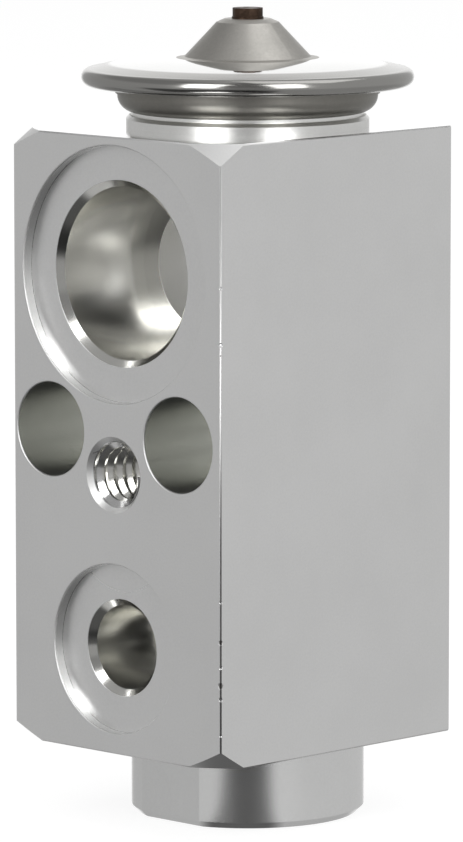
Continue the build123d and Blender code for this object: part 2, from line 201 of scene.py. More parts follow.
class Effects:
    """The node groups that several finishes share, each made once."""

    def __init__(self) -> None:
        """Makes all the groups."""
        self.mottle = self._mottle()
        self.pits = self._pits()
        self.rings = self._rings()

    @staticmethod
    def _start(name: str, inputs: dict[str, str], outputs: dict[str, str]) -> tuple[Graph, dict]:
        """Makes an empty group with its sockets.

        Args:
            name: The group's name.
            inputs: Socket types by name.
            outputs: Socket types by name.

        Returns:
            The group's graph and its input sockets by name.
        """
        tree = bpy.data.node_groups.new(name, "ShaderNodeTree")
        for way, sockets in (("INPUT", inputs), ("OUTPUT", outputs)):
            for socket, kind in sockets.items():
                tree.interface.new_socket(name=socket, in_out=way, socket_type="NodeSocket" + kind)
        graph = Graph(tree)
        entry = graph.add("NodeGroupInput")
        return graph, {socket: entry.outputs[socket] for socket in inputs}

    @staticmethod
    def _end(graph: Graph, **outputs) -> bpy.types.NodeTree:
        """Feeds the group's outputs and returns the group."""
        graph.add("NodeGroupOutput", outputs)
        return graph.tree

    def _mottle(self) -> bpy.types.NodeTree:
        """Cloudy tone with a fine grain on it: Tone runs from Low to High, Grain about a half."""
        graph, given = self._start(
            "mottle", {"Vector": "Vector", "Cloud": "Float", "Grain": "Float", "Low": "Float",
                       "High": "Float"}, {"Tone": "Float", "Grain": "Float"})
        cloud = graph.noise(given["Vector"], given["Cloud"], 3.0, 0.6)
        grain = graph.noise(given["Vector"], given["Grain"], 2.0, 0.7)
        both = graph.math("ADD", graph.math("MULTIPLY", cloud, 0.6),
                          graph.math("MULTIPLY", grain, 0.4))
        span = graph.math("SUBTRACT", given["High"], given["Low"])
        share = graph.ramp(both, 0.32, 0.68)
        tone = graph.math("MULTIPLY_ADD", share, span, given["Low"])
        return self._end(graph, Tone=tone, Grain=grain)

    def _pits(self) -> bpy.types.NodeTree:
        """Sparse small marks: Mask is 1 in a mark. Share is the part of the cells that have one."""
        graph, given = self._start(
            "pits", {"Vector": "Vector", "Scale": "Float", "Size": "Float", "Share": "Float"},
            {"Mask": "Float"})
        wobble = graph.add("TexNoise", {"Vector": given["Vector"], "Scale": given["Scale"],
                                        "Detail": 2.0}).outputs[1]
        moved = graph.add("VectorMath", {0: wobble, "Scale": 0.0004}, operation="SCALE").outputs[0]
        place = graph.add("VectorMath", {0: given["Vector"], 1: moved}, operation="ADD").outputs[0]
        cells = graph.add("TexVoronoi", {"Vector": place, "Scale": given["Scale"]})
        chance = graph.add("SeparateColor", {0: cells.outputs["Color"]}).outputs[0]
        chosen = graph.math("LESS_THAN", chance, given["Share"])
        reach = graph.math("MULTIPLY", given["Size"], graph.math("ADD", chance, 0.6))
        near = graph.math("SUBTRACT", 1.0, graph.math("DIVIDE", cells.outputs["Distance"], reach),
                          clamp=True)
        mask = graph.math("MULTIPLY", graph.ramp(near, 0.0, 0.5), chosen)
        return self._end(graph, Mask=mask)

    def _rings(self) -> bpy.types.NodeTree:
        """Turning marks: lines of constant Travel, which is a radius or a depth in metres."""
        graph, given = self._start(
            "rings", {"Travel": "Float", "Scale": "Float", "Vector": "Vector"},
            {"Line": "Float"})
        wave = graph.add("TexNoise", {"W": given["Travel"], "Scale": given["Scale"], "Detail": 3.0,
                                      "Roughness": 0.7}, noise_dimensions="1D").outputs[0]
        coarse = graph.math("MULTIPLY", given["Scale"], 0.23)
        slow = graph.add("TexNoise", {"W": given["Travel"], "Scale": coarse, "Detail": 1.0},
                         noise_dimensions="1D").outputs[0]
        fade = graph.ramp(graph.noise(given["Vector"], 90.0, 1.0), 0.3, 0.7, 0.6, 1.0)
        both = graph.math("ADD", graph.math("MULTIPLY", wave, 0.6),
                          graph.math("MULTIPLY", slow, 0.4))
        line = graph.math("MULTIPLY_ADD", graph.math("SUBTRACT", both, 0.5), fade, 0.5)
        return self._end(graph, Line=line)


@dataclass(frozen=True)
class Hole:
    """A round hole in the block, along Y.

    Attributes:
        x: Place of its axis across the port face, in millimetres.
        z: Height of its axis.
        radius: Largest radius of what is cut there, in millimetres.
        start: Depth under the faces where its walls start, in millimetres.
    """

    x: float
    z: float
    radius: float
    start: float = 0.13


@dataclass(frozen=True)
class Layout:
    """Where the parts of the block are, in millimetres.

    Attributes:
        front: Y of the port face.
        back: Y of the face opposite the port face.
        top: Z of the block's top.
        stem_y: Y of the stem's axis, which stands at X = 0.
        boss_top: Z of the block's underside, where the boss starts.
        near_edge: X of the vertical edge between the port face and the side on the right.
        clamp: The tapped hole.
        ports: The port bores, inside their recesses.
        bolts: The two bolt holes.
        core: The narrow passage behind the large port.
    """

    front: float
    back: float
    top: float
    stem_y: float
    near_edge: float
    clamp: Hole
    ports: tuple[Hole, ...]
    bolts: tuple[Hole, ...]
    core: Hole
    boss_top: float = 7.8

    @classmethod
    def read(cls) -> "Layout":
        """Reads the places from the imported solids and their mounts."""
        low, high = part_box("valve_body")
        mounts = {mount["name"]: mount for mount in frame["record"]["mounts"]}

        def hole(name: str, radius: float, start: float, shift: float = 0.0) -> Hole:
            """Returns the hole on a mount's axis, shifted along X."""
            place = mounts[name]["pos_m"]
            return Hole(place[0] / MM + shift, place[2] / MM, radius, start)

        bolts = tuple(hole("fixing_bolts", BOLT_RADIUS, EDGE_BREAK, side * BOLT_SPACING / 2)
                      for side in (-1, 1))
        ports = (hole("gas_outlet", GAS_RECESS_RADIUS, RECESS_DEPTH),
                 hole("liquid_inlet", INLET_RECESS_RADIUS, RECESS_DEPTH),
                 hole("liquid_outlet", OUTLET_RECESS_RADIUS, RECESS_DEPTH))
        return cls(front=low.y / MM, back=high.y / MM, top=high.z / MM,
                   stem_y=mounts["boss_foot"]["pos_m"][1] / MM, near_edge=high.x / MM,
                   clamp=hole("clamp_thread", CLAMP_RADIUS, EDGE_BREAK), ports=ports, bolts=bolts,
                   core=hole("gas_outlet", GAS_CORE_RADIUS, GAS_BORE_DEPTH))


@dataclass(frozen=True)
class Finish:
    """A metal or rubber surface with a cloudy tone, grain and turning marks.

    Attributes:
        name: The material's name.
        colour: Base colour, linear.
        metallic: 1 for metal, 0 for rubber.
        roughness: Mean roughness.
        rough_spread: How far roughness goes up and down with the cloudy tone.
        tone_low: Darkest tone that multiplies the colour.
        cloud: Scale of the cloudy tone, per metre.
        grain: Scale of the grain, per metre.
        grain_depth: Height of the grain, in metres.
        ring_scale: Scale of the turning marks, per metre; 0 for none.
        ring_depth: Height of the turning marks, in metres.
        pit_share: Share of the cells that have a mark.
        pit_size: Size of a mark, as a share of its cell.
        pit_scale: Scale of the cells, per metre.
        pit_colour: Colour in the marks.
    """

    name: str
    colour: Colour
    metallic: float = 1.0
    roughness: float = 0.3
    rough_spread: float = 0.05
    tone_low: float = 0.88
    cloud: float = 140.0
    grain: float = 2600.0
    grain_depth: float = 2e-6
    ring_scale: float = 0.0
    ring_depth: float = 1e-6
    pit_share: float = 0.02
    pit_size: float = 0.18
    pit_scale: float = 500.0
    pit_colour: Colour = (0.05, 0.045, 0.04)

    def tint(self, graph: Graph, place: Socket, colour: Socket, rough: Socket,
             layout: Layout) -> tuple[Socket, Socket]:
        """Changes colour and roughness by region; this finish has only one.

        Args:
            graph: The material's graph.
            place: Object coordinates.
            colour: The colour so far.
            rough: The roughness so far.
            layout: Not used.

        Returns:
            The colour and the roughness.
        """
        return colour, rough

    def build(self, effects: Effects, layout: Layout) -> bpy.types.Material:
        """Makes the material.

        Args:
            effects: The shared node groups.
            layout: Where the stem axis is.

        Returns:
            The finished material.
        """
        material, graph = new_material(self.name)
        place = graph.add("TexCoord").outputs["Object"]
        mottle = graph.group(effects.mottle, Vector=place, Cloud=self.cloud, Grain=self.grain,
                             Low=self.tone_low, High=1.0)
        pits = graph.group(effects.pits, Vector=place, Scale=self.pit_scale, Size=self.pit_size,
                           Share=self.pit_share).outputs["Mask"]
        height = graph.math("MULTIPLY", mottle.outputs["Grain"], self.grain_depth)
        rough = graph.math("MULTIPLY_ADD", graph.math("SUBTRACT", 0.94, mottle.outputs["Tone"]),
                           self.rough_spread * 8.0, self.roughness)
        if self.ring_scale:
            travel = self._travel(graph, place, layout)
            line = graph.group(effects.rings, Travel=travel, Scale=self.ring_scale,
                               Vector=place).outputs["Line"]
            height = graph.math("ADD", height, graph.math("MULTIPLY", line, self.ring_depth))
            rough = graph.math("ADD", rough, graph.math("MULTIPLY_ADD", line, 0.12, -0.06))
        height = graph.math("SUBTRACT", height, graph.math("MULTIPLY", pits, 4e-5))
        tone = graph.grey(mottle.outputs["Tone"])
        colour = graph.blend(1.0, self.colour, tone, "MULTIPLY")
        colour = graph.blend(graph.math("MULTIPLY", pits, 0.8), colour, self.pit_colour)
        colour, rough = self.tint(graph, place, colour, rough, layout)
        graph.surface(colour, self.metallic, rough, height)
        return material

    @staticmethod
    def _travel(graph: Graph, place: Socket, layout: Layout) -> Socket:
        """Returns height plus radius about the stem axis, so that lines run round it."""
        parts = graph.add("SeparateXYZ", {0: place}).outputs
        across = graph.math("SUBTRACT", parts[1], layout.stem_y * MM)
        return graph.math("ADD", parts[2], graph.distance(parts[0], across))


@dataclass(frozen=True)
class Nick:
    """A small bright or dark knock on the block.

    Attributes:
        x: Place in millimetres, from the near edge.
        y: Place from the port face.
        z: Height.
        radius: Reach of the knock, in millimetres.
        bright: Whether bare bright metal shows in it; otherwise it is a dark pit.
    """

    x: float
    y: float
    z: float
    radius: float
    bright: bool


@dataclass(frozen=True)
class BlockFinish:
    """The extruded and machined aluminium block: satin sides, fine-cut top and reamed holes.

    Attributes:
        name: The material's name.
        colour: Base colour of the satin faces.
        reamed_colour: Base colour in the holes and on the boss.
        top_colour: Base colour of the top, which is cut to a near mirror.
        satin: Roughness of the satin faces.
        fly_cut: Roughness of the top.
        reamed: Roughness of the port bores.
        core: Roughness of the narrow passage behind the large port.
        drilled: Roughness of the bolt holes.
        turned: Roughness of the chamfers, the recess walls and the tapped hole.
        boss: Roughness of the boss.
        drilled_colour: Base colour of the bolt holes.
        core_painted_light_colour: Base colour of the narrow passage, raised near white as painted
            light for the light that comes through the bore from behind.
        knocked: Roughness of the bright knocks.
        nick_colour: Colour of the dark knocks.
        nicks: The knocks.
    """

    name: str = "block_aluminium_satin"
    colour: Colour = (0.86, 0.86, 0.855)
    reamed_colour: Colour = (0.84, 0.835, 0.80)
    top_colour: Colour = (0.95, 0.95, 0.95)
    satin: float = 0.42
    fly_cut: float = 0.09
    reamed: float = 0.24
    core: float = 0.6
    drilled: float = 0.27
    turned: float = 0.14
    boss: float = 0.24
    drilled_colour: Colour = (0.82, 0.825, 0.795)
    # Painted light: the narrow passage is made near white to stand in for the light that comes
    # through the bore from behind.
    core_painted_light_colour: Colour = (0.98, 0.975, 0.95)
    knocked: float = 0.15
    nick_colour: Colour = (0.22, 0.21, 0.20)
    nicks: tuple[Nick, ...] = (
        Nick(0.0, 0.0, 54.3, 0.22, True), Nick(0.0, 0.0, 48.9, 0.26, True),
        Nick(0.0, 0.0, 47.9, 0.17, False), Nick(0.0, 0.0, 24.3, 0.20, True),
        Nick(0.0, 0.0, 20.4, 0.30, False), Nick(0.0, 0.0, 18.0, 0.22, True),
        Nick(0.0, 0.0, 16.2, 0.38, False), Nick(0.0, 0.0, 14.9, 0.25, True),
        Nick(0.0, 0.0, 11.4, 0.18, True), Nick(-14.0, 0.0, 65.1, 0.16, False),
    )

    def build(self, effects: Effects, layout: Layout) -> bpy.types.Material:
        """Makes the material.

        Args:
            effects: The shared node groups.
            layout: Where the faces and holes are.

        Returns:
            The finished material.
        """
        material, graph = new_material(self.name)
        place = graph.add("TexCoord").outputs["Object"]
        parts = graph.add("SeparateXYZ", {0: place}).outputs
        mottle = graph.group(effects.mottle, Vector=place, Cloud=70.0, Grain=4200.0, Low=0.94,
                             High=1.0)
        pits = graph.group(effects.pits, Vector=place, Scale=210.0, Size=0.035,
                           Share=0.05).outputs["Mask"]
        bright, dark = self._nick_masks(graph, effects, place, layout)
        pits = graph.math("MAXIMUM", pits, dark)
        near, far = 0.02, 0.02 + SOFT
        top = graph.ramp(parts[2], (layout.top - far) * MM, (layout.top - near) * MM)
        boss = graph.math("MULTIPLY", graph.ramp(parts[2], (layout.boss_top - near) * MM,
                                                 (layout.boss_top - far) * MM),
                          graph.ramp(parts[1], (layout.front + near) * MM,
                                     (layout.front + far) * MM))
        bores = self._hole_mask(graph, parts, layout, layout.ports)
        bolts = self._hole_mask(graph, parts, layout, layout.bolts)
        core = self._hole_mask(graph, parts, layout, (layout.core,))
        holes = graph.math("MAXIMUM", bores, bolts)
        turned = self._turned_mask(graph, parts, layout, bores)
        drawn = graph.group(effects.rings, Travel=parts[2], Scale=2600.0, Vector=place)
        reamed = graph.group(effects.rings, Travel=parts[1], Scale=5200.0, Vector=place)

        tone = graph.mix(holes, mottle.outputs["Tone"], 1.0)
        grey = graph.grey(tone)
        colour = self.colour
        # The narrow passage's near-white colour is painted light for the light that comes through
        # the bore from behind.
        for mask, value in ((bores, self.reamed_colour), (bolts, self.drilled_colour),
                            (core, self.core_painted_light_colour), (top, self.top_colour)):
            colour = graph.blend(mask, colour, value)
        colour = graph.blend(1.0, colour, grey, "MULTIPLY")
        colour = graph.blend(graph.math("MULTIPLY", pits, 0.8), colour, self.nick_colour)
        colour = graph.blend(bright, colour, self.top_colour)

        rough = graph.math("MULTIPLY_ADD", graph.math("SUBTRACT", 0.97, mottle.outputs["Tone"]),
                           0.8, self.satin)
        for mask, value in ((boss, self.boss), (bores, self.reamed), (core, self.core),
                            (bolts, self.drilled), (turned, self.turned), (top, self.fly_cut),
                            (bright, self.knocked)):
            rough = graph.mix(mask, rough, value)

        height = graph.math("MULTIPLY", mottle.outputs["Grain"], 1.5e-6)
        height = graph.mix(boss, height, graph.math("MULTIPLY", drawn.outputs["Line"], 2.0e-6))
        height = graph.mix(holes, height, graph.math("MULTIPLY", reamed.outputs["Line"], 5e-7))
        height = graph.mix(top, height, 0.0)
        height = graph.math("SUBTRACT", height, graph.math("MULTIPLY", pits, 4e-5))
        height = graph.math("SUBTRACT", height, graph.math("MULTIPLY", bright, 8e-5))
        graph.surface(colour, 1.0, rough, height)
        return material

    @staticmethod
    def _reach(graph: Graph, parts: tuple, hole: Hole) -> Socket:
        """Returns the distance from a hole's axis, in metres."""
        return graph.distance(graph.math("SUBTRACT", parts[0], hole.x * MM),
                              graph.math("SUBTRACT", parts[2], hole.z * MM))

    @staticmethod
    def _below_faces(graph: Graph, parts: tuple, layout: Layout, depth: float) -> Socket:
        """Returns a mask that is 1 deeper than this under the two faces with holes."""
        y = parts[1]
        return graph.math("MULTIPLY", graph.ramp(y, (layout.front + depth) * MM,
                                                 (layout.front + depth + REACH) * MM),
                          graph.ramp(y, (layout.back - depth) * MM,
                                     (layout.back - depth - REACH) * MM))

    def _hole_mask(self, graph: Graph, parts: tuple, layout: Layout,
                   holes: tuple[Hole, ...]) -> Socket:
        """Returns a mask that is 1 on the walls of some holes.

        Args:
            graph: The material's graph.
            parts: X, Y and Z of Object coordinates.
            layout: Where the faces are.
            holes: The holes to mask.
        """
        mask = 0.0
        for hole in holes:
            here = graph.math("LESS_THAN", self._reach(graph, parts, hole),
                              (hole.radius + REACH) * MM)
            here = graph.math("MULTIPLY", here, self._below_faces(graph, parts, layout, hole.start))
            mask = graph.math("MAXIMUM", mask, here)
        return mask

    def _turned_mask(self, graph: Graph, parts: tuple, layout: Layout, bores: Socket) -> Socket:
        """Returns a mask that is 1 on chamfers, recess walls and the tapped hole.

        Args:
            graph: The material's graph.
            parts: X, Y and Z of Object coordinates.
            layout: Where the faces and holes are.
            bores: The mask of the port bores.
        """
        shallow = graph.math("SUBTRACT", 1.0, self._below_faces(graph, parts, layout,
                                                              CHAMFER_DEPTH))
        mask = graph.math("MAXIMUM", graph.math("MULTIPLY", bores, shallow),
                          self._hole_mask(graph, parts, layout, (layout.clamp,)))
        wall = 0.0
        for hole in layout.ports:
            away = graph.math("ABSOLUTE", graph.math("SUBTRACT", self._reach(graph, parts, hole),
                                                     hole.radius * MM))
            wall = graph.math("MAXIMUM", wall, graph.math("LESS_THAN", away, WALL_REACH * MM))
        lip = self._below_faces(graph, parts, layout, LIP_DEPTH)
        return graph.math("MAXIMUM", mask, graph.math("MULTIPLY", wall, lip))

    def _nick_masks(self, graph: Graph, effects: Effects, place: Socket,
                    layout: Layout) -> tuple[Socket, Socket]:
        """Masks the knocks, with ragged outlines.

        Args:
            graph: The material's graph.
            effects: Not used.
            place: Object coordinates.
            layout: Where the near edge is.

        Returns:
            The masks of the bright and of the dark knocks.
        """
        ragged = graph.math("MULTIPLY_ADD", graph.noise(place, 5200.0, 2.0), 0.8, 0.6)
        masks = {True: 0.0, False: 0.0}
        for nick in self.nicks:
            spot = ((layout.near_edge + nick.x) * MM, (layout.front + nick.y) * MM, nick.z * MM)
            away = graph.add("VectorMath", {0: place, 1: spot}, operation="DISTANCE").outputs[1]
            reach = graph.math("MULTIPLY", away, ragged)
            mask = graph.ramp(reach, nick.radius * MM, nick.radius * 0.6 * MM)
            masks[nick.bright] = graph.math("MAXIMUM", masks[nick.bright], mask)
        return masks[True], masks[False]


@dataclass(frozen=True)
class CoverFinish(Finish):
    """The pressed cover: a mirror on its dome, rougher where the rim is rolled over, and painted
    darker there as painted shade.

    Attributes:
        rim_shade_colour: Base colour of the rim, darker than the dome as painted shade for the dark
            surroundings that the rim reflects.
        rim_roughness: Roughness of the rim.
        rim_top: Z where the rim's rougher finish and painted shade start, in millimetres.
        rim_soft: Half the width of its soft border, in millimetres.
    """

    rim_top: float = 73.86
    # Painted shade: the rim is made much darker than the dome to stand in for the dark surroundings
    # that it reflects; its higher roughness is real.
    rim_shade_colour: Colour = (0.38, 0.375, 0.36)
    rim_roughness: float = 0.16
    rim_soft: float = 0.06

    def tint(self, graph: Graph, place: Socket, colour: Socket, rough: Socket,
             layout: Layout) -> tuple[Socket, Socket]:
        """Makes the rim rougher, and darker as painted shade."""
        z = graph.add("SeparateXYZ", {0: place}).outputs[2]
        rim = graph.ramp(z, (self.rim_top + self.rim_soft) * MM,
                         (self.rim_top - self.rim_soft) * MM)
        return graph.blend(rim, colour, self.rim_shade_colour), graph.mix(rim, rough, self.rim_roughness)


FINISHES = {
    "satin_steel": Finish("satin_steel_drawn", (0.50, 0.485, 0.455), roughness=0.40, tone_low=0.86,
                          grain=3200.0, grain_depth=2.5e-6, cloud=260.0),
    "polished_cover": CoverFinish("cover_steel_polished", (0.80, 0.80, 0.79), roughness=0.07,
                                  rough_spread=0.01, tone_low=0.97, grain_depth=1e-7,
                                  pit_share=0.0),
    "polished_steel": Finish("collar_steel_bright", (0.92, 0.92, 0.90), roughness=0.30,
                             rough_spread=0.02, tone_low=0.93, ring_scale=2200.0, ring_depth=1e-6),
    "pressed_steel": Finish("cup_steel_pressed", (0.27, 0.262, 0.24), roughness=0.38,
                            rough_spread=0.03, tone_low=0.9, grain_depth=6e-7),
    "turned_steel": Finish("inner_steel_turned", (0.55, 0.55, 0.54), roughness=0.28,
                           ring_scale=2600.0, ring_depth=2e-6),
    "spring_steel": Finish("spring_wire_steel", (0.40, 0.40, 0.40), roughness=0.33),
    "ball_steel": Finish("ball_steel_ground", (0.72, 0.72, 0.73), roughness=0.08, tone_low=0.97,
                         rough_spread=0.01),
    "shaft_aluminium": Finish("shaft_aluminium_turned", (0.80, 0.80, 0.79), roughness=0.3,
                              ring_scale=2400.0, ring_depth=2e-6),
    "adjuster_brass": Finish("adjuster_brass_turned", (0.78, 0.60, 0.31), roughness=0.27,
                             ring_scale=2400.0, ring_depth=2e-6),
    "plug_copper": Finish("plug_copper_brazed", (0.085, 0.055, 0.04), roughness=0.38,
                          rough_spread=0.06, tone_low=0.5, cloud=900.0, grain_depth=2e-5,
                          grain=1700.0, pit_scale=1500.0, pit_size=0.26, pit_share=0.35,
                          pit_colour=(0.9, 0.85, 0.8)),
    "seal_rubber": Finish("seal_rubber_moulded", (0.018, 0.018, 0.019), metallic=0.0,
                          roughness=0.55, grain_depth=3e-6),
}


class Bench:
    """Small modelling steps that the pieces share."""

    @staticmethod
    def clear() -> None:
        """Leaves edit mode and deselects everything."""
        if bpy.context.object and bpy.context.object.mode != "OBJECT":
            bpy.ops.object.mode_set(mode="OBJECT")
        bpy.ops.object.select_all(action="DESELECT")

    @staticmethod
    def take(piece: bpy.types.Object) -> None:
        """Selects one piece alone and makes it active."""
        Bench.clear()
        bpy.context.view_layer.objects.active = piece
        piece.select_set(True)

    @staticmethod
    def settle(piece: bpy.types.Object) -> None:
        """Applies the piece's place, turn and size to its mesh."""
        Bench.take(piece)
        bpy.ops.object.transform_apply(location=True, rotation=True, scale=True)

    @staticmethod
    def apply_all(piece: bpy.types.Object) -> None:
        """Applies every modifier in order."""
        Bench.take(piece)
        for modifier in list(piece.modifiers):
            bpy.ops.object.modifier_apply(modifier=modifier.name)

    @staticmethod
    def tidy(piece: bpy.types.Object, angle: float) -> None:
        """Merges doubles, turns faces outwards and shades the piece smooth below an angle."""
        Bench.take(piece)
        bpy.ops.object.mode_set(mode="EDIT")
        bpy.ops.mesh.select_all(action="SELECT")
        bpy.ops.mesh.remove_doubles(threshold=1e-6)
        bpy.ops.mesh.normals_make_consistent(inside=False)
        bpy.ops.object.mode_set(mode="OBJECT")
        bpy.ops.object.shade_smooth_by_angle(angle=math.radians(angle))


@dataclass
class BlockSkin:
    """The block with its deburred edges shaded round.

    The skin is the solid's own shape. Only the narrow chamfers of the deburred edges share their
    normals with the faces beside them, so they catch the light as a small radius does.

    Attributes:
        edge_break: Width of the deburred edges, in millimetres.
        crease: Degrees above which two faces meet in a sharp edge.
    """

    edge_break: float = 0.16
    crease: float = 50.0

    def build(self, material: bpy.types.Material) -> bpy.types.Object:
        """Makes the skin and hides the plain solid.

        Args:
            material: The block's finish.

        Returns:
            The finished piece.
        """
        source = frame["nodes"]["valve_body"]
        piece = bpy.data.objects.new("valve_block", source.data.copy())
        bpy.context.scene.collection.objects.link(piece)
        Bench.take(piece)
        bpy.ops.mesh.customdata_custom_splitnormals_clear()
        Bench.tidy(piece, self.crease)
        self._round_edges(piece.data)
        piece.data.materials.clear()
        piece.data.materials.append(material)
        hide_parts("valve_body")
        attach(piece, "housing")
        return piece

    def _round_edges(self, mesh: bpy.types.Mesh) -> None:
        """Gives the narrow chamfers the normals of the wide faces beside them."""
        narrow = [self._is_edge_break(mesh, polygon) for polygon in mesh.polygons]
        seams = self._mark_creases(mesh, narrow)
        normals = [corner.vector.copy() for corner in mesh.corner_normals]
        beside: dict[int, list[Vector]] = {}
        for polygon in mesh.polygons:
            if not narrow[polygon.index]:
                for vertex, loop in zip(polygon.vertices, polygon.loop_indices):
                    beside.setdefault(vertex, []).append(normals[loop])
        for polygon in mesh.polygons:
            if narrow[polygon.index]:
                for vertex, loop in zip(polygon.vertices, polygon.loop_indices):
                    if vertex in beside:
                        normals[loop] = min(beside[vertex], key=polygon.normal.angle)
        for edge in seams:
            edge.use_edge_sharp = False
        mesh.normals_split_custom_set([tuple(normal) for normal in normals])

    @staticmethod
    def _mark_creases(mesh: bpy.types.Mesh, narrow: list[bool]) -> list[bpy.types.MeshEdge]:
        """Marks creases as sharp, and returns the edges where narrow faces meet wide ones."""
        faces: dict[tuple[int, int], list[int]] = {}
        for polygon in mesh.polygons:
            for key in polygon.edge_keys:
                faces.setdefault(key, []).append(polygon.index)
        seams = []
        for edge in mesh.edges:
            pair = faces.get(edge.key, [])
            if len(pair) != 2:
                continue
            first, second = pair
            turn = mesh.polygons[first].normal.angle(mesh.polygons[second].normal, 0.0)
            if narrow[first] != narrow[second]:
                edge.use_edge_sharp = True
                seams.append(edge)
            elif turn > math.radians(20.0):
                edge.use_edge_sharp = True
        return seams

    def _is_edge_break(self, mesh: bpy.types.Mesh, polygon: bpy.types.MeshPolygon) -> bool:
        """Tells whether a face is on a narrow 45 degree chamfer."""
        corners = [mesh.vertices[index].co for index in polygon.vertices]
        for axis in range(3):
            if 0.68 < abs(polygon.normal[axis]) < 0.73:
                along = [corner[axis] for corner in corners]
                if max(along) - min(along) < self.edge_break * MM:
                    return True
        return False


@dataclass
class CutThread:
    """A helical ridge that stands in a tapped hole or on a screw.

    Attributes:
        name: The piece's name.
        root: Radius of the wall that the ridge stands on.
        crest: Radius of the ridge's narrow edge.
        pitch: Rise in one turn.
        length: Length of the thread along its axis.
        base: Where its first turn starts, in millimetres.
        axis: The axis of the thread.
        body: The body that it moves with.
        slot: Name of the material slot that it belongs to; not used.
        steps: Steps in one turn.
    """

    name: str
    root: float
    crest: float
    pitch: float
    length: float
    base: Vector
    axis: Axis
    body: str
    slot: str
    steps: int = 48

    def build(self, material: bpy.types.Material) -> bpy.types.Object:
        """Models the ridge.

        Args:
            material: The finish of the metal that it is cut in.

        Returns:
            The finished piece.
        """
        Bench.clear()
        bpy.ops.mesh.primitive_plane_add(size=1.0, location=(0, 0, 0))
        piece = bpy.context.object
        piece.name = self.name
        wide, narrow = self.pitch * 0.46, self.pitch * 0.09
        outline = ((self.root, -wide), (self.crest, -narrow), (self.crest, narrow),
                   (self.root, wide))
        order = list(piece.data.polygons[0].vertices)
        for index, (radius, rise) in zip(order, outline):
            piece.data.vertices[index].co = self._point(radius, rise)
        screw = piece.modifiers.new("turns", "SCREW")
        screw.axis = self.axis.value
        screw.screw_offset = self.pitch * MM
        screw.iterations = max(1, round(self.length / self.pitch))
        screw.steps = screw.render_steps = self.steps
        Bench.apply_all(piece)
        self._close_ends(piece)
        piece.location = self.base * MM
        Bench.settle(piece)
        Bench.tidy(piece, 50.0)
        piece.data.materials.append(material)
        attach(piece, self.body)
        return piece

    def _point(self, radius: float, rise: float) -> Vector:
        """Returns a corner of the ridge's section, in metres."""
        if self.axis is Axis.Y:
            return Vector((radius, rise, 0.0)) * MM
        return Vector((radius, 0.0, rise)) * MM

    @staticmethod
    def _close_ends(piece: bpy.types.Object) -> None:
        """Fills the two open ends of the ridge."""
        Bench.take(piece)
        bpy.ops.object.mode_set(mode="EDIT")
        bpy.ops.mesh.select_all(action="SELECT")
        bpy.ops.mesh.remove_doubles(threshold=1e-7)
        bpy.ops.mesh.select_all(action="DESELECT")
        bpy.ops.mesh.select_non_manifold()
        bpy.ops.mesh.fill()
        bpy.ops.object.mode_set(mode="OBJECT")


@dataclass(frozen=True)
class Softbox:
    """A large soft lamp, placed by its bearing from the object.

    Attributes:
        name: The lamp's name.
        bearing: Degrees from the camera's side of the object, positive to the camera's right.
        height: Degrees above the horizon.
        distance: Metres from the object.
        width: Metres.
        tall: Metres.
        watts: The lamp's power.
    """

    name: str
    bearing: float
    height: float
    distance: float
    width: float
    tall: float
    watts: float


